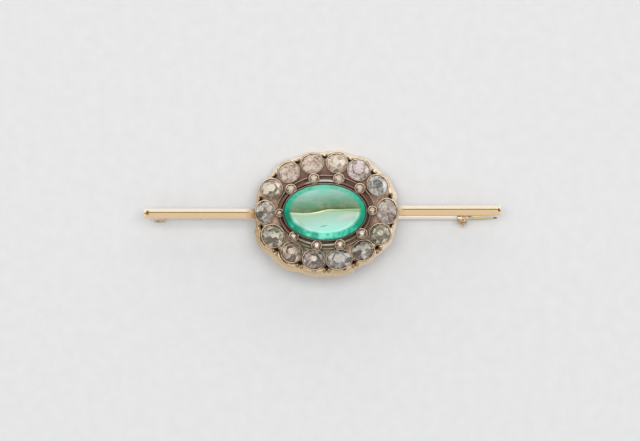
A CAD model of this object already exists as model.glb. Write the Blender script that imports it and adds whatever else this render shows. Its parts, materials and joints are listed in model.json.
import json
import math

import bpy
from mathutils import Matrix, Vector

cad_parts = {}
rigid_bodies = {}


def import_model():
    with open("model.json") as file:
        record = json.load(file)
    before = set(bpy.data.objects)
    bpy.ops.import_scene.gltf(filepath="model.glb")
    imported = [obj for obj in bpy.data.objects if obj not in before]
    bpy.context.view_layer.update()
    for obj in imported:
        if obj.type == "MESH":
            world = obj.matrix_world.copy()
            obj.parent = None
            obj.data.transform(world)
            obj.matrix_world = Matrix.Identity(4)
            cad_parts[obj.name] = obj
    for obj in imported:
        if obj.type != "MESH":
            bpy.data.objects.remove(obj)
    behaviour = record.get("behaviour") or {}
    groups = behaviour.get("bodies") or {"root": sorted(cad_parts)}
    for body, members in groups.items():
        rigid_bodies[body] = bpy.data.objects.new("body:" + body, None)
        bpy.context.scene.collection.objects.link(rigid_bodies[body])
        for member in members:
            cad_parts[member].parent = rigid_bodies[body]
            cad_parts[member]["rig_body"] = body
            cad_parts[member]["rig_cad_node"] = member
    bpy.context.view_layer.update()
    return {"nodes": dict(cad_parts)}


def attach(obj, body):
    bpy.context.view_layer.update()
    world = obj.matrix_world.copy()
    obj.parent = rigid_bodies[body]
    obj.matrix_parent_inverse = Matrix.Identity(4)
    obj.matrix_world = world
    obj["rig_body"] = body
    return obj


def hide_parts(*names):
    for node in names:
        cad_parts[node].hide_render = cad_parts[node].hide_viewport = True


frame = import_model()
nodes = frame["nodes"]

MM = 0.001
BODY = "brooch"

# How the brooch lies: turned about the bar, lifted onto its hinge, catch and foot
LEAN = math.radians(13.384)
LYING = Matrix.Translation((0, 0.213515 * MM, 3.87741 * MM)) @ Matrix.Rotation(-LEAN, 4, "X")

# Bar and cluster, in millimetres on the bar's own frame
ARM_STEP = 0.54
ARM_START = 12.2
CLUSTER_X = 0.6
OUTER_A, OUTER_B = 10.25, 8.5
INNER_A, INNER_B, INNER_Y = 7.8, 5.95, -0.11
WIRE_A, WIRE_B = 8.25, 6.36
DECK = 0.3
SEAT = DECK + 0.15
FOOT = -1.35
RECESS_TOP, RECESS_INSET = DECK - 0.45, 0.2
COLLET_WALL, COLLET_HEIGHT = 0.14, 0.5
SMALL_WALL, SMALL_HEIGHT = 0.17, 0.56
CENTRE_A, CENTRE_B = 6.9, 4.825
CENTRE_X, CENTRE_Y = 0.42, -0.22
CROWN_MARGIN = 1.03
SHEET_OUT = 1.12
# middles of the band and of the bezel, outside the emerald's edge
BAND_OUT, BEZEL_OUT = 0.72, 0.115

# The scallops stand outside the solid's flare, above its foot and clear of its recesses by this much
SKIN, FOOT_LIFT, RECESS_PLAY = 0.015, 0.012, 0.03

# Large stones from the right end, anticlockwise: angle on the oval, size along it, size across it,
# reach of the gallery's foot, tint
ROSES = [
    (0, 4.32, 3.42, 0.35, "mauve"), (32, 3.72, 3.32, 0.9, "blue"), (57.5, 3.72, 3.62, 1.0, "mauve"),
    (79.5, 3.52, 3.32, 1.05, "beige"), (103, 3.72, 3.32, 0.85, "rose"), (127.5, 3.62, 3.42, 0.85, "rose"),
    (153, 3.52, 3.52, 0.5, "beige"), (181, 3.92, 3.22, 0.35, "grey"), (210, 4.02, 3.62, 0.95, "green"),
    (236, 3.52, 3.42, 1.1, "rose"), (258.5, 3.72, 3.32, 0.87, "mauve"), (282.5, 4.32, 3.22, 0.85, "blue"),
    (307.5, 3.72, 3.32, 0.35, "grey"), (332.5, 3.52, 3.52, 0.4, "green"),
]
# Small stones from the right end, anticlockwise: angle on the oval, outside diameter of the collet
SMALLS = [
    (2, 1.7), (43, 1.9), (74, 2.0), (105, 1.9), (139, 1.95),
    (182, 1.5), (226, 1.75), (258.5, 1.9), (287.5, 1.9), (320.5, 1.95),
]
# Flare of the gold cups from the foot up: share of the foot's reach, level
FLARE = [
    (1, FOOT), (0.97, FOOT + 0.12), (0.92, FOOT + 0.3), (0.74, FOOT + 0.52), (0.55, FOOT + 0.72),
    (0.43, FOOT + 0.92), (0.35, FOOT + 1.15), (0.31, DECK - 0.1), (0.26, DECK),
]


def on_ring(a, b, t):
    """Place on an oval, in millimetres, at t degrees."""
    t = math.radians(t)
    return CLUSTER_X + a * math.cos(t), b * math.sin(t)


def heading(a, b, t):
    """Turn that lays a piece along the oval at t degrees, in radians."""
    t = math.radians(t)
    return math.atan2(b * math.cos(t), -a * math.sin(t))


def beside(t, out, along=0):
    """Place off the oval of the large stones, with the turn there."""
    turn = heading(OUTER_A, OUTER_B, t)
    x, y = on_ring(OUTER_A, OUTER_B, t)
    return (
        x + out * math.sin(turn) + along * math.cos(turn),
        y - out * math.cos(turn) + along * math.sin(turn),
        turn,
    )


def junction(i):
    """Angle halfway between a large stone and the next one."""
    after = ROSES[(i + 1) % len(ROSES)][0] + (360 if i == len(ROSES) - 1 else 0)
    return (ROSES[i][0] + after) / 2


# Modelling

def deselect():
    if bpy.context.object and bpy.context.object.mode != "OBJECT":
        bpy.ops.object.mode_set(mode="OBJECT")
    bpy.ops.object.select_all(action="DESELECT")


def pick(*pieces):
    deselect()
    for piece in pieces:
        piece.select_set(True)
    bpy.context.view_layer.objects.active = pieces[0]


def named(name):
    piece = bpy.context.object
    piece.name = name
    piece.data.name = name
    return piece


def oval_form(name, a, b, profile, sides=48, hollow=False):
    """Oval piece raised from its base in steps. The profile's rows are margin and height in millimetres."""
    deselect()
    base_margin, base_height = profile[0]
    fill = "NOTHING" if hollow else "NGON"
    bpy.ops.mesh.primitive_circle_add(vertices=sides, radius=1, fill_type=fill)
    piece = named(name)
    piece.scale = ((a + base_margin) * MM, (b + base_margin) * MM, 1)
    piece.location = (0, 0, base_height * MM)
    bpy.ops.object.transform_apply(location=True, rotation=True, scale=True)
    bpy.ops.object.mode_set(mode="EDIT")
    bpy.ops.mesh.select_all(action="SELECT")
    for (m0, z0), (m1, z1) in zip(profile, profile[1:]):
        move = {"value": (0, 0, (z1 - z0) * MM)}
        if hollow:
            bpy.ops.mesh.extrude_edges_move(TRANSFORM_OT_translate=move)
        else:
            bpy.ops.mesh.extrude_region_move(TRANSFORM_OT_translate=move)
        bpy.ops.transform.resize(
            value=((a + m1) / (a + m0), (b + m1) / (b + m0), 1), center_override=(0, 0, z1 * MM)
        )
    bpy.ops.mesh.select_all(action="SELECT")
    bpy.ops.mesh.remove_doubles(threshold=1e-7)
    bpy.ops.mesh.normals_make_consistent(inside=False)
    bpy.ops.object.mode_set(mode="OBJECT")
    return piece


def cut_off(piece, plane_at, plane_out):
    """Cuts off what lies beyond an upright plane, and closes the cut. The place is in millimetres."""
    pick(piece)
    bpy.ops.object.mode_set(mode="EDIT")
    bpy.ops.mesh.select_all(action="SELECT")
    bpy.ops.mesh.bisect(
        plane_co=(plane_at[0] * MM, plane_at[1] * MM, 0), plane_no=(plane_out[0], plane_out[1], 0),
        use_fill=True, clear_outer=True,
    )
    bpy.ops.object.mode_set(mode="OBJECT")


def place(piece, x=0, y=0, turn=0):
    """Puts a piece, in millimetres on the bar's frame."""
    piece.matrix_world = Matrix.Translation((x * MM, y * MM, 0)) @ Matrix.Rotation(turn, 4, "Z")
    pick(piece)
    bpy.ops.object.transform_apply(location=True, rotation=True, scale=True)
    return piece


def join(name, pieces):
    pick(*pieces)
    if len(pieces) > 1:
        bpy.ops.object.join()
    return named(name)


def modifier(piece, kind, **settings):
    pick(piece)
    added = piece.modifiers.new(kind.lower(), kind)
    for key, value in settings.items():
        setattr(added, key, value)
    bpy.ops.object.modifier_apply(modifier=added.name)
    return piece


def smooth(piece, angle=35):
    pick(piece)
    bpy.ops.object.shade_smooth_by_angle(angle=math.radians(angle))
    return piece


def finish(piece, material, replaces=()):
    """Lays a finished piece the way the brooch lies, and ties it to the brooch."""
    piece.matrix_world = LYING @ piece.matrix_world
    pick(piece)
    bpy.ops.object.transform_apply(location=True, rotation=True, scale=True)
    piece.data.materials.clear()
    piece.data.materials.append(material)
    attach(piece, BODY)
    if replaces:
        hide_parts(*replaces)


def from_cad(cad_name, name, material, body, angle=35):
    """A merged copy of a CAD node with soft shading."""
    pick(nodes[cad_name])
    bpy.ops.object.duplicate()
    piece = named(name)
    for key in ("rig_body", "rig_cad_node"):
        if key in piece:
            del piece[key]
    bpy.ops.object.mode_set(mode="EDIT")
    bpy.ops.mesh.select_all(action="SELECT")
    # the loose triangles are merged, and those that lie flat beside each other become one face
    flat = math.radians(0.3)
    bpy.ops.mesh.remove_doubles(threshold=2e-7)
    bpy.ops.mesh.dissolve_limited(angle_limit=flat, use_dissolve_boundaries=False)
    bpy.ops.object.mode_set(mode="OBJECT")
    smooth(piece, angle)
    modifier(piece, "WEIGHTED_NORMAL", keep_sharp=True)
    piece.data.materials.clear()
    piece.data.materials.append(material)
    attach(piece, body)
    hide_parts(cad_name)


# Materials

# settings of a Mix node that darkens a colour by a tone
DARKEN = {"data_type": "RGBA", "blend_type": "MULTIPLY"}


def linear(colour):
    """sRGB hex to the linear values that a shader takes."""
    channels = [int(colour[i:i + 2], 16) / 255 for i in (1, 3, 5)]
    return tuple(c / 12.92 if c <= 0.04045 else ((c + 0.055) / 1.055) ** 2.4 for c in channels) + (1,)


def grey(value):
    """Strength of a mask or of the light, without a colour."""
    return (value, value, value, 1)


def feed(tree, made, inputs):
    """Gives each input of a node a number, an sRGB hex colour or the output of another node."""
    for key, given in inputs.items():
        if isinstance(given, bpy.types.NodeSocket):
            tree.links.new(made.inputs[key], given)
        else:
            made.inputs[key].default_value = linear(given) if isinstance(given, str) else given


def node(tree, kind, inputs=(), out=0, stops=(), interpolation="LINEAR", **settings):
    """Adds a node with its settings, colour stops and inputs, and gives the output that is asked for."""
    made = tree.nodes.new("ShaderNode" + kind)
    for key, value in settings.items():
        setattr(made, key, value)
    feed(tree, made, inputs if isinstance(inputs, dict) else dict(enumerate(inputs)))
    if stops:
        made.color_ramp.interpolation = interpolation
        elements = made.color_ramp.elements
        while len(elements) < len(stops):
            elements.new(1)
        for element, (position, colour) in zip(elements, stops):
            element.position = position
            element.color = linear(colour) if isinstance(colour, str) else colour
    return made.outputs[out]


def new_material(name):
    """Material with its tree and shader, and the place on the object that its patterns follow."""
    material = bpy.data.materials.new(name)
    material.use_nodes = True
    tree = material.node_tree
    return material, tree, tree.nodes["Principled BSDF"], node(tree, "TexCoord", out="Object")


def painted(tree, colour, *coats):
    """Lays tones over a colour in turn. Each shows as far as both its zone and its pattern do."""
    for zone, pattern, tone in coats:
        amount = node(tree, "Math", [zone, pattern], operation="MULTIPLY")
        colour = node(tree, "Mix", {0: amount, 6: colour, 7: tone}, 2, data_type="RGBA")
    return colour


def bar_axes(tree, where, origin=(0, 0, 0)):
    """Distances in millimetres from a point, along the brooch, across it and up from its back."""
    local = node(
        tree, "Mapping", [where, LYING @ (Vector(origin) * MM), (-LEAN, 0, 0), (MM, MM, MM)],
        vector_type="TEXTURE",
    )
    return tuple(node(tree, "SeparateXYZ", [local]).node.outputs)


def oval_square(tree, x, y, half_x, half_y):
    """Square of the distance from the middle of an oval, 1 on the oval itself."""
    squares = []
    for off, half in ((x, half_x), (y, half_y)):
        share = node(tree, "Math", [off, half], operation="DIVIDE")
        squares.append(node(tree, "Math", [share, 2], operation="POWER"))
    return node(tree, "Math", squares, operation="ADD")


def ring_axes(tree, where):
    """Distances in millimetres along and across the cluster, and one that is 1 on the large stones' oval."""
    x, y, _ = bar_axes(tree, where, (CLUSTER_X, 0, DECK))
    return x, y, node(tree, "Math", [oval_square(tree, x, y, OUTER_A, OUTER_B)], operation="SQRT")


def tint_spot(tree, where, colour, spot, size, tone, amount=0.9):
    """Tints a colour round one point. spot and size in millimetres."""
    away = node(tree, "VectorMath", [where, LYING @ (Vector(spot) * MM)], "Value", operation="DISTANCE")
    near = node(tree, "MapRange", [away, 0.4 * size * MM, size * MM, amount, 0])
    return node(tree, "Mix", {0: near, 6: colour, 7: tone}, 2, data_type="RGBA")


def junction_marks(tree, where, colour, out, z, size, tone):
    """Dark dirt in the notch between each two neighbouring stones."""
    for i in range(len(ROSES)):
        x, y, _ = beside(junction(i), out)
        colour = tint_spot(tree, where, colour, (x, y, z), size, tone, 1)
    return colour


def lip_wear(tree, where, colour):
    """Lips of the large stones: rubbed brighter inside the ring above the emerald, dull below it."""
    _, y, ring = ring_axes(tree, where)
    inner = node(tree, "MapRange", [ring, 0.98, 0.86])
    rubbed = painted(tree, colour, (inner, node(tree, "MapRange", [y, 2, 5, 0, 0.4]), "#fff0e0"))
    dull = painted(tree, "#ffffff", (inner, node(tree, "MapRange", [y, -2, -5]), "#ccd2d0"))
    return node(tree, "Mix", {0: 1, 6: rubbed, 7: dull}, 2, **DARKEN)


def cup_wear(tree, where, colour):
    """Gold of the gallery: pale at the foot, browner towards the stones, duller at the lower left and ochre
    at the left end."""
    x, y, z = bar_axes(tree, where)
    fade = node(tree, "ValToRGB", [node(tree, "MapRange", [z, FOOT, DECK + 0.05])], stops=[
        (0.0, "#fffaee"), (0.3, "#f8f2e6"), (0.6, "#f0eae2"), (0.85, "#e9e1d6"), (1.0, "#dcd2c4"),
    ])
    # grows from the lower left of the cluster to its upper right
    slant = node(tree, "Math", [x, 0.6, y], operation="MULTIPLY_ADD")
    low_left = node(tree, "ValToRGB", [node(tree, "MapRange", [slant, -10, 4])], stops=[
        (0.15, "#dcd5c8"), (0.5, "#f2e8d9"), (0.75, "#ffffff"),
    ])
    left_end = painted(tree, "#ffffff", (node(tree, "MapRange", [x, -9.6, -10.8]), 1, "#f0e7d4"))
    for tone in (fade, low_left, left_end):
        colour = node(tree, "Mix", {0: 1, 6: colour, 7: tone}, 2, **DARKEN)
    return junction_marks(tree, where, colour, 1.3, DECK - 0.05, 0.7, "#1c0f07")


def sheet_wear(tree, where, colour):
    """Sheet rubbed pale between the stones and at both ends, with mauve brown patches above the emerald and
    greenish ones below it."""
    x, y, ring = ring_axes(tree, where)
    cloud = node(tree, "TexNoise", {"Vector": where, "Scale": 1 / (0.55 * MM), "Detail": 2})
    patches = node(tree, "MapRange", [cloud, 0.42, 0.55])
    rubbed = node(tree, "MapRange", [cloud, 0.6, 0.4, 0.6, 1])
    ends = node(tree, "MapRange", [node(tree, "Math", [x], operation="ABSOLUTE"), 7.4, 8.8, 0, 0.5])
    colour = painted(
        tree, colour,
        (node(tree, "MapRange", [ring, 0.76, 0.93, 0, 0.8]), rubbed, "#a08a74"),
        (ends, 1, "#bea48c"),
        (ends, patches, "#54383a"),
        (node(tree, "MapRange", [y, -4, -5.5, 0, 0.8]), patches, "#2a4a31"),
        (node(tree, "MapRange", [y, 4, 5.5, 0, 0.6]), patches, "#765a57"),
    )
    return junction_marks(tree, where, colour, 1.15, DECK + 0.1, 0.7, "#060302")


def band_wear(tree, where, colour):
    """Band rubbed grey above the emerald, a little less below it, and dark at both ends."""
    x, y, _ = bar_axes(tree, where)
    off = node(tree, "Math", [node(tree, "Math", [x, 0.3], operation="SUBTRACT")], operation="ABSOLUTE")
    above = node(tree, "Math", [y, 0], operation="GREATER_THAN")
    below = node(tree, "Math", [y, 0], operation="LESS_THAN")
    rubbed = painted(
        tree, "#a08478",
        (node(tree, "MapRange", [off, 3.4, 1.9]), above, "#ffffff"),
        (node(tree, "MapRange", [off, 4.6, 2.4, 0, 0.7]), below, "#ffffff"),
    )
    return node(tree, "Mix", {0: 1, 6: colour, 7: rubbed}, 2, **DARKEN)


def bar_wear(tree, where, colour):
    """Pale upper face, deeper lower face and a dull dark edge between them, ochre solder at the cluster, a
    brown hinge and catch, and dirt at both tips."""
    x, y, z = bar_axes(tree, where)
    side = node(tree, "Math", [x], operation="SIGN")
    off = node(tree, "Math", [side, -ARM_STEP / 2, y], operation="MULTIPLY_ADD")
    faces = node(tree, "ValToRGB", [node(tree, "MapRange", [off, -0.85, 0.85])], stops=[
        (0.0, "#ecccaa"), (0.25, "#efd0a8"), (0.44, "#f0d49c"), (0.462, "#7a5a34"), (0.538, "#7a5a34"),
        (0.56, "#fbe9cc"), (1.0, "#fdf2e0"),
    ])
    off_centre = node(tree, "Math", [x, CLUSTER_X], operation="SUBTRACT")
    arm = node(tree, "Math", [off_centre], operation="ABSOLUTE")
    on_cluster = node(tree, "MapRange", [arm, ARM_START + 0.4, ARM_START + 0.15])
    on_arm = node(tree, "MapRange", [arm, ARM_START, ARM_START + 0.8])
    front = node(tree, "Math", [z, -0.05], operation="GREATER_THAN")
    back = node(tree, "MapRange", [z, -0.5, -1.2])
    by_cluster = node(tree, "MapRange", [arm, ARM_START + 1.4, ARM_START])
    by_edge = node(tree, "MapRange", [node(tree, "Math", [y], operation="ABSOLUTE"), 1.6, 0.9])
    joint = node(tree, "Math", [by_cluster, by_edge], operation="MULTIPLY")
    cloud = node(tree, "TexNoise", {"Vector": where, "Scale": 1 / (0.5 * MM), "Detail": 2})
    brown = node(tree, "ValToRGB", [cloud], stops=[(0.42, "#a98a66"), (0.6, "#e6d0b4")])
    cups = cup_wear(tree, where, colour)
    colour = painted(
        tree, node(tree, "Mix", {0: 1, 6: colour, 7: "#f8dcbd"}, 2, **DARKEN),
        (on_cluster, 1, cups),
        (on_arm, front, faces),
        (joint, node(tree, "MapRange", [x, -1, 1, 0.7, 0.25]), "#b48c54"),
        (on_arm, back, brown),
    )
    colour = tint_spot(tree, where, colour, (-29.4, -ARM_STEP / 2, 0.7), 0.5, "#4a3018")
    return tint_spot(tree, where, colour, (29.7, ARM_STEP / 2, 0.5), 0.45, "#4a3020")


def pin_wear(tree, where, colour):
    """Olive yellow beyond the catch, with dirt beside its sleeve and at the point."""
    sleeve_end, bare_from = 24.3, 24.9
    x = bar_axes(tree, where)[0]
    colour = painted(tree, colour, (node(tree, "MapRange", [x, sleeve_end, bare_from]), 1, "#c3b58a"))
    for along in (sleeve_end, bare_from):
        colour = tint_spot(tree, where, colour, (along, 0, -2.75), 0.4, "#4a3018")
    return tint_spot(tree, where, colour, (29.3, -ARM_STEP / 2, -2.9), 0.5, "#4a3020")


def metal_material(name, tones, roughness, reach, size, swing, relief, paint=None, metallic=1):
    """Metal with tarnish where polish can't reach, uneven wear and fine scratches. reach is how far the
    shade of its corners goes, size how large its clouds are, in millimetres, and swing how strong."""
    material, tree, shader, where = new_material(name)
    open_sky = node(tree, "AmbientOcclusion", {"Distance": reach * MM}, "AO", samples=8)
    cloud = node(tree, "TexNoise", {"Vector": where, "Scale": 1 / (size * MM), "Detail": 4})
    uneven = node(tree, "Math", [cloud, swing, -swing / 2], operation="MULTIPLY_ADD")
    openness = node(tree, "Math", [open_sky, uneven], operation="ADD")
    colour = node(tree, "ValToRGB", [openness], stops=tones)
    if paint:
        colour = paint(tree, where, colour)
    scratches = node(tree, "TexNoise", {"Vector": where, "Scale": 1 / (0.25 * MM), "Detail": 3})
    feed(tree, shader, {
        "Base Color": colour,
        "Metallic": metallic,
        "Roughness": node(tree, "MapRange", [cloud, 0, 1, roughness * 0.8, roughness * 1.3]),
        "Normal": node(tree, "Bump", {"Strength": relief, "Distance": 0.03 * MM, "Height": scratches}),
    })
    return material


def diamond_material(name, bright, middle, half, deep, seed):
    """Old rose-cut diamond on foil: each facet throws back one tone, with a little of its neighbours' seen
    through it, and the stones low on the brooch are darker."""
    material, tree, shader, where = new_material(name)
    facing = node(tree, "NewGeometry", out="True Normal")
    facet = node(
        tree, "TexNoise", {"Vector": facing, "Scale": 4.5, "Detail": 1, "W": seed}, noise_dimensions="4D"
    )
    inside = node(tree, "TexNoise", {"Vector": where, "Scale": 1 / (0.45 * MM), "Detail": 2.5})
    seen_through = node(tree, "Math", [inside, 0.7, -0.35], operation="MULTIPLY_ADD")
    own_tone = node(tree, "Math", [facet, 1.15, -0.075], operation="MULTIPLY_ADD")
    height = node(tree, "MapRange", [bar_axes(tree, where)[1], -9, 9, -0.16, 0.06])
    tone = node(tree, "Math", [seen_through, own_tone], operation="ADD")
    tone = node(tree, "Math", [tone, height], operation="ADD")
    feed(tree, shader, {
        "Base Color": node(tree, "ValToRGB", [tone], stops=[
            (0.24, deep), (0.37, half), (0.5, middle), (0.66, bright),
        ]),
        "IOR": 2.42,
        "Specular IOR Level": 0.32,
        "Specular Tint": "#fbf2e8",
        "Transmission Weight": 0.45,
        "Roughness": 0.06,
    })
    return material


def foil_material(name, bright, deep):
    """Crinkled foil behind the stones, its lights and darks about a millimetre apart."""
    material, tree, shader, where = new_material(name)
    cloud = node(tree, "TexNoise", {"Vector": where, "Scale": 1 / (1.1 * MM), "Detail": 2})
    crease = node(tree, "TexVoronoi", {"Vector": where, "Scale": 1 / (0.9 * MM)}, "Distance")
    feed(tree, shader, {
        "Base Color": node(tree, "ValToRGB", [cloud], stops=[(0.38, deep), (0.58, bright)]),
        "Metallic": 1,
        "Roughness": 0.3,
        "Normal": node(tree, "Bump", {"Strength": 0.5, "Distance": 0.1 * MM, "Height": crease}),
    })
    return material


def emerald_crown(tree, where, x, y, far, along, veil, above):
    """Colour of the crown: dark and clouded above the veil, light below it, pale along the veil's edge."""
    stretched = node(tree, "Mapping", {"Vector": where, "Scale": (0.3, 1, 1)})
    streak = node(tree, "TexNoise", {"Vector": stretched, "Scale": 1 / (0.5 * MM), "Detail": 2})
    streaks = node(tree, "Math", [streak, 0.9, -0.45], operation="MULTIPLY_ADD")
    # the streaks fade close to the veil
    clear = node(tree, "MapRange", [node(tree, "Math", [veil], operation="ABSOLUTE"), 0.15, 1, 0, 0.3])
    rise = node(tree, "Math", [veil, 4.2], operation="DIVIDE")
    streaky = node(tree, "Math", [streaks, clear], operation="MULTIPLY")
    height = node(tree, "Math", [rise, streaky], operation="ADD")
    upper = node(tree, "ValToRGB", [height], stops=[
        (0.0, "#4a5c3a"), (0.03, "#46583a"), (0.08, "#526c4a"), (0.15, "#5d7659"), (0.24, "#5c8061"),
        (0.4, "#668f79"), (0.6, "#7aa08f"), (0.85, "#8ab5a8"), (1.0, "#96beb2"),
    ])
    depth = node(tree, "Math", [height, -1], operation="MULTIPLY")
    lower = node(tree, "ValToRGB", [depth], stops=[
        (0.0, "#84a477"), (0.05, "#84a477"), (0.12, "#759a78"), (0.35, "#79a590"), (0.6, "#7eb3a4"),
        (0.82, "#70c2ae"), (1.0, "#5ec1a9"),
    ])
    cloud = node(tree, "TexNoise", {"Vector": where, "Scale": 1 / (1.6 * MM), "Detail": 3})
    # the veil's edge is clearest in the middle
    clearest = node(tree, "ValToRGB", [along], stops=[
        (0.08, grey(0.4)), (0.3, grey(0.4)), (0.46, grey(1)), (0.56, grey(0.9)), (0.68, grey(0.25)),
        (0.95, grey(0.2)),
    ])
    off_veil = node(tree, "Math", [node(tree, "Math", [veil, 0.09], operation="ADD")], operation="ABSOLUTE")
    # light line where the lower crown meets the bevel
    from_edge = node(tree, "Math", [far, 0.95], operation="SUBTRACT")
    off_brink = node(tree, "Math", [from_edge], operation="ABSOLUTE")
    brink = node(tree, "MapRange", [off_brink, 0.01, 0.05, 0.28, 0])
    return painted(
        tree, lower,
        (above, 1, upper),
        (node(tree, "MapRange", [cloud, 0.48, 0.66, 0, 0.26]), above, "#a09a86"),
        (node(tree, "MapRange", [off_veil, 0.05, 0.13, 1, 0]), clearest, "#d6d6a8"),
        (brink, node(tree, "MapRange", [y, 0.2, -0.6]), "#a8dccb"),
    )


def emerald_bevel(tree, where, y):
    """Colour of the bevel: paler mint at the top and bottom, deep green at both ends."""
    tall = node(tree, "Math", [y, 1 / (2 * CENTRE_B), 0.5], operation="MULTIPLY_ADD")
    sparkle = node(tree, "TexNoise", {"Vector": where, "Scale": 1 / (0.6 * MM), "Detail": 3})
    lively = node(tree, "Math", [sparkle, 0.63, -0.315], operation="MULTIPLY_ADD")
    return node(tree, "ValToRGB", [node(tree, "Math", [tall, lively], operation="ADD")], stops=[
        (0.0, "#6ed8be"), (0.1, "#4cbea2"), (0.24, "#1e9a7c"), (0.5, "#128c6c"), (0.72, "#2ca082"),
        (0.88, "#5aa48c"), (1.0, "#70aa95"),
    ])


def emerald_material(name):
    """Polished emerald with a closed back: saturated bevel, and a crown parted along by a wavy veil."""
    material, tree, shader, where = new_material(name)
    x, y, _ = bar_axes(tree, where, (CENTRE_X, CENTRE_Y, DECK))
    # distance from the middle, 1 at the edge of the crown
    crown = oval_square(tree, x, y, CENTRE_A - CROWN_MARGIN, CENTRE_B - CROWN_MARGIN)
    far = node(tree, "Math", [crown], operation="SQRT")
    # the veil's height follows the length of the stone, and veil is how far above it a spot lies
    along = node(tree, "Math", [x, 1 / (2 * CENTRE_A), 0.5], operation="MULTIPLY_ADD")
    wave = node(tree, "ValToRGB", [along], interpolation="B_SPLINE", stops=[
        (0.07, grey(0.33)), (0.24, grey(0.0)), (0.4, grey(0.26)), (0.54, grey(0.86)), (0.66, grey(0.7)),
        (0.92, grey(1.0)),
    ])
    veil_y = node(tree, "Math", [wave, 0.55], operation="SUBTRACT")
    veil = node(tree, "Math", [y, veil_y], operation="SUBTRACT")
    above = node(tree, "Math", [veil, 0], operation="GREATER_THAN")
    on_bevel = node(tree, "MapRange", [far, 0.97, 1.05])
    colour = painted(
        tree, emerald_crown(tree, where, x, y, far, along, veil, above),
        (on_bevel, 1, emerald_bevel(tree, where, y)),
        (node(tree, "MapRange", [far, 1.17, 1.27]), 0.6, "#0b5a40"),
    )
    # light patches where the bevel catches the lamp, darker ones low at the left
    for spot, size, tone, amount in (
        ((-0.5, -4.35, 1.2), 0.8, "#80dcc0", 0.9), ((-0.2, 3.9, 1.3), 1.5, "#62b49a", 0.6),
        ((-4.4, -3.2, 1.1), 1.5, "#047052", 0.6), ((-1.7, -4.1, 1.2), 0.9, "#0a7e5e", 0.6),
        ((-6.3, -1.0, 1.1), 1.5, "#04684a", 0.6), ((5.6, -1.9, 1.1), 1.3, "#0c7c5c", 0.5),
    ):
        spot = (CENTRE_X + spot[0], CENTRE_Y + spot[1], DECK + spot[2])
        colour = tint_spot(tree, where, colour, spot, size, tone, amount)
    # a dark feather low in the middle, pink clouding low at the right and a pale speck in it: place, half
    # length, half width, slant, amount, tone
    for flaw_x, flaw_y, half_x, half_y, slant, amount, tone in (
        (-0.2, -2.62, 0.62, 0.1, 0.2, 0.9, "#2f6c58"), (3.6, -0.9, 1.7, 0.55, 0.3, 0.35, "#b0a698"),
        (3.75, -1.5, 0.3, 0.18, 0.3, 0.7, "#9c9088"),
    ):
        off_x = node(tree, "Math", [x, flaw_x], operation="SUBTRACT")
        level_y = node(tree, "Math", [y, flaw_y], operation="SUBTRACT")
        off_y = node(tree, "Math", [off_x, -slant, level_y], operation="MULTIPLY_ADD")
        reach = oval_square(tree, off_x, off_y, half_x, half_y)
        colour = painted(tree, colour, (node(tree, "MapRange", [reach, 0.2, 1.5, amount, 0]), 1, tone))
    # the lamp shows in the lower crown only
    bevel_gloss = node(tree, "MapRange", [on_bevel, 0, 1, 1, 0.24])
    crown_gloss = node(tree, "MapRange", [above, 0, 1, 0.5, 0.15])
    gloss = node(tree, "Math", [bevel_gloss, crown_gloss], operation="MULTIPLY")
    feed(tree, shader, {"Base Color": colour, "Roughness": 0.03, "IOR": 1.58, "Specular IOR Level": gloss})
    return material


GOLD_TONES = [(0.15, "#8e785c"), (0.45, "#e0caac"), (0.8, "#fcf0dc")]
SILVER_TONES = [(0.25, "#30221a"), (0.55, "#8a725e"), (0.85, "#d6c2ab")]

# pale gold alloy, polished: clean bright faces, browner in the corners
GOLD = metal_material(
    "polished_pale_gold", GOLD_TONES, roughness=0.22, reach=0.6, size=1.5, swing=0.25, relief=0,
    paint=bar_wear, metallic=0.75,
)
# the same gold on the scalloped gallery, worn soft
CUP_GOLD = metal_material(
    "gallery_gold", GOLD_TONES, roughness=0.3, reach=0.6, size=0.8, swing=0.3, relief=0.1,
    paint=cup_wear, metallic=0.75,
)
# the claws' gold, redder and rubbed
CLAW_GOLD = metal_material(
    "rubbed_red_gold", [(0.2, "#4a2e18"), (0.8, "#b08c66")], roughness=0.34, reach=0.4, size=0.6, swing=0.4,
    relief=0.05,
)
# drawn gold wire, rubbed pale and smooth
PIN_GOLD = metal_material(
    "polished_gold_wire", [(0.25, "#ab9880"), (0.7, "#d9cec2")], roughness=0.28, reach=0.6, size=1.5,
    swing=0.2, relief=0, paint=pin_wear, metallic=0.85,
)
# gold of the catch's sleeve, aged to a dull brown
CATCH_GOLD = metal_material(
    "aged_gold", [(0.2, "#66482c"), (0.8, "#c0a68a")], roughness=0.42, reach=0.6, size=0.6, swing=0.5,
    relief=0.1,
)
# old silver: brown patina in the corners, rubbed to a warm grey on the lips
SILVER = metal_material(
    "antique_silver", SILVER_TONES, roughness=0.36, reach=0.3, size=0.8, swing=0.5, relief=0.2,
    paint=lip_wear,
)
# the same silver on the small collets, evenly worn
SMALL_SILVER = metal_material(
    "antique_silver_small_collets", SILVER_TONES, roughness=0.36, reach=0.3, size=0.8, swing=0.5, relief=0.2,
)
# silver of the outer wire and the bezel, dulled brown by tarnish
WIRE_SILVER = metal_material(
    "tarnished_silver_wire", [(0.3, "#24150f"), (0.7, "#6e5046"), (1.0, "#a88c7e")], roughness=0.38,
    reach=0.4, size=0.8, swing=0.5, relief=0.2,
)
# silver of the band beside the bezel, greyer
BAND_SILVER = metal_material(
    "grey_silver_band", [(0.3, "#26231e"), (0.6, "#62605a"), (0.95, "#a5a294")], roughness=0.45, reach=0.4,
    size=0.8, swing=0.5, relief=0.2, paint=band_wear,
)
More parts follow.
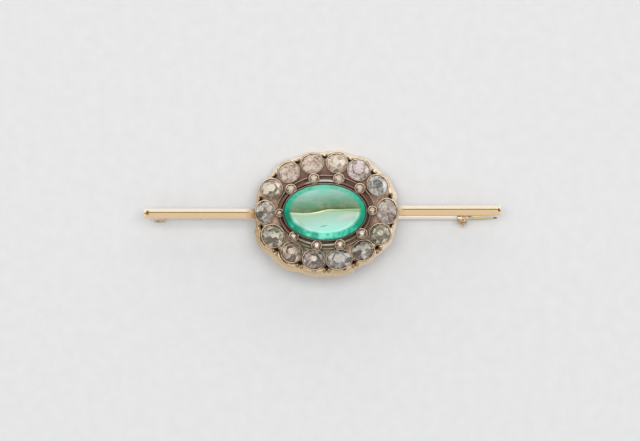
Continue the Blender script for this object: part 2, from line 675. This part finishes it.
# silver sheet under the collets, never polished: dark brown and matt where nothing has rubbed it
DARK_SILVER = metal_material(
    "oxidised_silver", [(0.3, "#1a1310"), (0.9, "#644c41")], roughness=0.5, reach=0.6, size=0.9, swing=0.9,
    relief=0.5, paint=sheet_wear,
)
# tints of the stones, each from its lights to its darks
TINTS = {
    "mauve": ("#fceeee", "#bcaaa1", "#86766b", "#504137"),
    "blue": ("#f4f5f2", "#cac9c2", "#96958e", "#5c5b56"),
    "beige": ("#fff4e4", "#c8b49c", "#8c7962", "#4e4132"),
    "rose": ("#ffeee0", "#cdb39f", "#957e68", "#584634"),
    "grey": ("#f7f3ea", "#ab9f91", "#746a5e", "#3e352c"),
    "green": ("#fcf9ea", "#c6bea8", "#8c8570", "#534c3c"),
    "pale": ("#f8ecdc", "#dec8b4", "#b09a87", "#7c6756"),
}
DIAMONDS = {
    tint: diamond_material(tint + "_rose_cut_diamond", *tones, seed * 1.7)
    for seed, (tint, tones) in enumerate(TINTS.items())
}
FOILS = {tint: foil_material(tint + "_foil", tones[0], tones[-1]) for tint, tones in TINTS.items()}
EMERALD = emerald_material("emerald_cabochon")

# Pieces

from_cad("gold_frame", "gold_work", GOLD, BODY, 25)
from_cad("pin_stem", "pin_wire", PIN_GOLD, "pin")
from_cad("hinge_rivet", "rivet", GOLD, BODY)
from_cad("catch_sleeve", "catch_barrel", CATCH_GOLD, "catch_lever")


def scallop(i):
    """Outer half of the gold cup round one large stone, flared to its foot and hollow below."""
    t, along, across, reach, _ = ROSES[i]
    foot = FOOT + FOOT_LIFT
    rows = [(-RECESS_INSET, RECESS_TOP + RECESS_PLAY), (-RECESS_INSET, foot)]
    for share, level in FLARE:
        skin = SKIN if level > FOOT else 0
        rows.append((COLLET_WALL * (1 - share) + share * reach + skin, max(level, foot)))
    piece = oval_form("scallop", along / 2, across / 2, rows)
    # the half towards the emerald is behind the sheet
    cut_off(piece, (0, 0.5), (0, 1))
    x, y = on_ring(OUTER_A, OUTER_B, t)
    turn = heading(OUTER_A, OUTER_B, t)
    # the flare stops short of the recess behind each neighbour
    for side in (-1, 1):
        next_t, _, next_across, _, _ = ROSES[(i + side) % len(ROSES)]
        next_x, next_y = on_ring(OUTER_A, OUTER_B, next_t)
        towards = math.atan2(next_y - y, next_x - x) - turn
        free = math.dist((x, y), (next_x, next_y)) - next_across / 2 + RECESS_INSET - RECESS_PLAY
        out = (math.cos(towards), math.sin(towards))
        cut_off(piece, (free * out[0], free * out[1]), out)
    return place(piece, x, y, turn)


scallops = smooth(join("gallery_scallops", [scallop(i) for i in range(len(ROSES))]), 40)
finish(scallops, CUP_GOLD, ["gold_frame"])


def claw(t, out, along):
    """Small round-topped gold claw beside a notch."""
    piece = oval_form("claw", 0.24, 0.2, [
        (0.06, DECK - 0.9), (0.03, DECK - 0.2), (0, DECK + 0.1), (-0.02, DECK + 0.32), (-0.07, DECK + 0.42),
        (-0.14, DECK + 0.46),
    ], 16)
    return place(piece, *beside(t, out, along))


# two claws at each of the five notches that face the foot of the photo
LOWER_NOTCHES = range(8, 13)
claws = join("gallery_claws", [
    claw(junction(i), 1.55, side * 0.36) for i in LOWER_NOTCHES for side in (-1, 1)
])
finish(smooth(claws, 50), CLAW_GOLD, ["gold_frame"])

sheet = oval_form("silver_sheet", OUTER_A + SHEET_OUT, OUTER_B + SHEET_OUT, [
    (-0.03, DECK + 0.005), (0, DECK + 0.03), (0, DECK + 0.1), (-0.04, DECK + 0.12),
], 96)
place(sheet, CLUSTER_X, 0)
finish(smooth(sheet), DARK_SILVER, ["silver_front"])


def collet(a, b, wall, height, lip, sides):
    """Oval silver cup: outside wall, lip rubbed over onto the stone, inside wall and floor."""
    top = DECK + height
    return oval_form("collet", a, b, [
        (wall - 0.01, DECK + 0.05), (wall, DECK + 0.12), (wall - 0.01, top - 0.12),
        (wall - 0.04, top - 0.04), (wall - 0.08, top), (wall - 0.12, top - 0.01), (-lip, top - 0.12),
        (-lip, top - 0.16), (0.02, top - 0.2), (0.02, SEAT),
    ], sides)


def rose_setting(i):
    """Collet of one large stone, in its place."""
    t, along, across, _, _ = ROSES[i]
    piece = collet(along / 2, across / 2, COLLET_WALL, COLLET_HEIGHT, 0.05, 48)
    return place(piece, *on_ring(OUTER_A, OUTER_B, t), heading(OUTER_A, OUTER_B, t))


def small_place(i):
    x, y = on_ring(INNER_A, INNER_B, SMALLS[i][0])
    return x, y + INNER_Y


def small_setting(i):
    """Collet of one small stone, in its place."""
    r = SMALLS[i][1] / 2 - SMALL_WALL
    return place(collet(r, r, SMALL_WALL, SMALL_HEIGHT, 0.03, 32), *small_place(i))


rose_collets = smooth(join("rose_collets", [rose_setting(i) for i in range(len(ROSES))]))
finish(rose_collets, SILVER, ["silver_front"])
small_collets = smooth(join("small_collets", [small_setting(i) for i in range(len(SMALLS))]))
finish(small_collets, SMALL_SILVER, ["silver_front"])


def round_wire(name, a, b, half, top, x, y, material):
    """Oval wire with a rounded top, standing on the sheet. half is half its width, top its level."""
    low = DECK + 0.1
    piece = oval_form(name, a, b, [
        (half - 0.02, low), (half, low + 0.04), (half, top - 0.1), (half * 0.7, top - 0.03), (0, top),
        (-half * 0.7, top - 0.03), (-half, top - 0.1), (-half, low + 0.04), (-half + 0.02, low),
        (half - 0.02, low),
    ], 96, hollow=True)
    place(piece, x, y)
    finish(smooth(piece), material, ["silver_front"])


round_wire(
    "outer_wire", WIRE_A, WIRE_B, half=0.1, top=DECK + 0.35,
    x=CLUSTER_X, y=INNER_Y, material=WIRE_SILVER,
)
round_wire(
    "inner_band", CENTRE_A + BAND_OUT, CENTRE_B + BAND_OUT, half=0.23, top=DECK + 0.4,
    x=CENTRE_X, y=CENTRE_Y, material=BAND_SILVER,
)
round_wire(
    "bezel", CENTRE_A + BEZEL_OUT, CENTRE_B + BEZEL_OUT, half=0.085, top=DECK + 0.75,
    x=CENTRE_X, y=CENTRE_Y, material=WIRE_SILVER,
)


def foil_disc(x, y, a, b, turn=0):
    """Thin oval of foil on the seat below one stone."""
    return place(oval_form("foil", a, b, [(-0.4, SEAT + 0.002), (-0.05, SEAT + 0.012)], 24), x, y, turn)


for tint, foil in FOILS.items():
    discs = [
        foil_disc(*on_ring(OUTER_A, OUTER_B, t), along / 2, across / 2, heading(OUTER_A, OUTER_B, t))
        for t, along, across, _, kind in ROSES if kind == tint
    ]
    if tint == "pale":
        for i, (_, outside) in enumerate(SMALLS):
            r = outside / 2 - SMALL_WALL
            discs.append(foil_disc(*small_place(i), r, r))
    finish(join(tint + "_foils", discs), foil)

dome = oval_form("cabochon", CENTRE_A, CENTRE_B, [
    (-0.2, DECK + 0.03), (0.0, DECK + 0.2), (0.0, DECK + 0.6), (-0.05, DECK + 0.8),
    (-0.25, DECK + 1.06), (-0.55, DECK + 1.26), (-0.85, DECK + 1.40), (-CROWN_MARGIN, DECK + 1.455),
    (-1.2, DECK + 1.49), (-1.8, DECK + 1.585), (-2.6, DECK + 1.67), (-3.5, DECK + 1.725),
    (-4.4, DECK + 1.76),
], 64)
modifier(dome, "SUBSURF", levels=2, render_levels=2)
place(dome, CENTRE_X, CENTRE_Y)
finish(smooth(dome, 60), EMERALD, ["emerald"])

stones = {"rose_diamond_%02d" % (i + 1): row[-1] for i, row in enumerate(ROSES)}
stones.update({"small_diamond_%02d" % (i + 1): "pale" for i in range(len(SMALLS))})
for stone_name, tint in stones.items():
    nodes[stone_name].data.materials.clear()
    nodes[stone_name].data.materials.append(DIAMONDS[tint])

# Studio

deselect()
bpy.ops.mesh.primitive_plane_add(size=1.6)
floor = named("floor")
# matt white paper: a soft pale ground without a shine
paper, tree, shader, where = new_material("white_paper")
fibre = node(tree, "TexNoise", {"Vector": where, "Scale": 1 / (2 * MM), "Detail": 2})
feed(tree, shader, {
    "Base Color": node(tree, "ValToRGB", [fibre], stops=[(0, "#c9c9ca"), (1, "#d1d1d1")]),
    "Roughness": 0.75,
    "Specular IOR Level": 0.2,
})
floor.data.materials.append(paper)

# softbox over the table, from 8 degrees before the zenith to 26 degrees behind it
SOFTBOX_TILT, SOFTBOX_HALF = math.radians(9), math.radians(17)
SOFTBOX_AWAY, SOFTBOX_WIDTH, SOFTBOX_RADIANCE = 0.7, 0.9, 3.0
softbox_depth = 2 * SOFTBOX_AWAY * math.tan(SOFTBOX_HALF)
light = bpy.data.lights.new("softbox", "AREA")
light.shape = "RECTANGLE"
light.size = SOFTBOX_WIDTH
light.size_y = softbox_depth
light.energy = SOFTBOX_RADIANCE * SOFTBOX_WIDTH * softbox_depth * math.pi
softbox = bpy.data.objects.new("softbox", light)
softbox.location = (0, SOFTBOX_AWAY * math.sin(SOFTBOX_TILT), SOFTBOX_AWAY * math.cos(SOFTBOX_TILT))
softbox.rotation_euler = (-softbox.location).to_track_quat("-Z", "Y").to_euler()
softbox.visible_camera = False
bpy.context.scene.collection.objects.link(softbox)

# pale room round the table, brighter behind it, with a dark gap beside the softbox
world = bpy.data.worlds.new("studio")
bpy.context.scene.world = world
world.use_nodes = True
tree = world.node_tree
look = node(tree, "SeparateXYZ", [node(tree, "TexCoord", out="Generated")]).node.outputs
turned = node(tree, "Math", [look["Y"], look["Z"]], operation="ARCTAN2")
# 0 is the horizon before the brooch, 0.5 straight up, 1 the horizon behind it
round_the_room = node(tree, "MapRange", [turned, -math.pi / 2, math.pi / 2])
room = node(tree, "ValToRGB", [round_the_room], stops=[
    (0.0, grey(0.8)), (0.122, grey(0.76)), (0.278, grey(0.72)), (0.417, grey(0.7)), (0.5, grey(0.7)),
    (0.644, grey(0.7)), (0.658, grey(0.12)), (0.733, grey(0.12)), (0.778, grey(0.5)), (0.822, grey(1.6)),
    (0.917, grey(2.4)), (1.0, grey(2.4)),
])
feed(tree, tree.nodes["Background"], {"Color": room, "Strength": 1})

# Camera over the brooch. The photo's scale is one pixel to 0.168 mm at the level of the stones
CAMERA_X, CAMERA_Y, CAMERA_Z = -0.403 * MM, -1.184 * MM, 0.5
STONE_LEVEL, PIXEL, PHOTO_WIDTH, SENSOR = 4.5 * MM, 0.168 * MM, 640, 36
camera_data = bpy.data.cameras.new("camera")
camera_data.sensor_width = SENSOR
camera_data.lens = SENSOR * (CAMERA_Z - STONE_LEVEL) / (PHOTO_WIDTH * PIXEL)
camera = bpy.data.objects.new("camera", camera_data)
camera.location = (CAMERA_X, CAMERA_Y, CAMERA_Z)
bpy.context.scene.collection.objects.link(camera)
bpy.context.scene.camera = camera
bpy.context.scene.view_settings.view_transform = "Standard"

deselect()
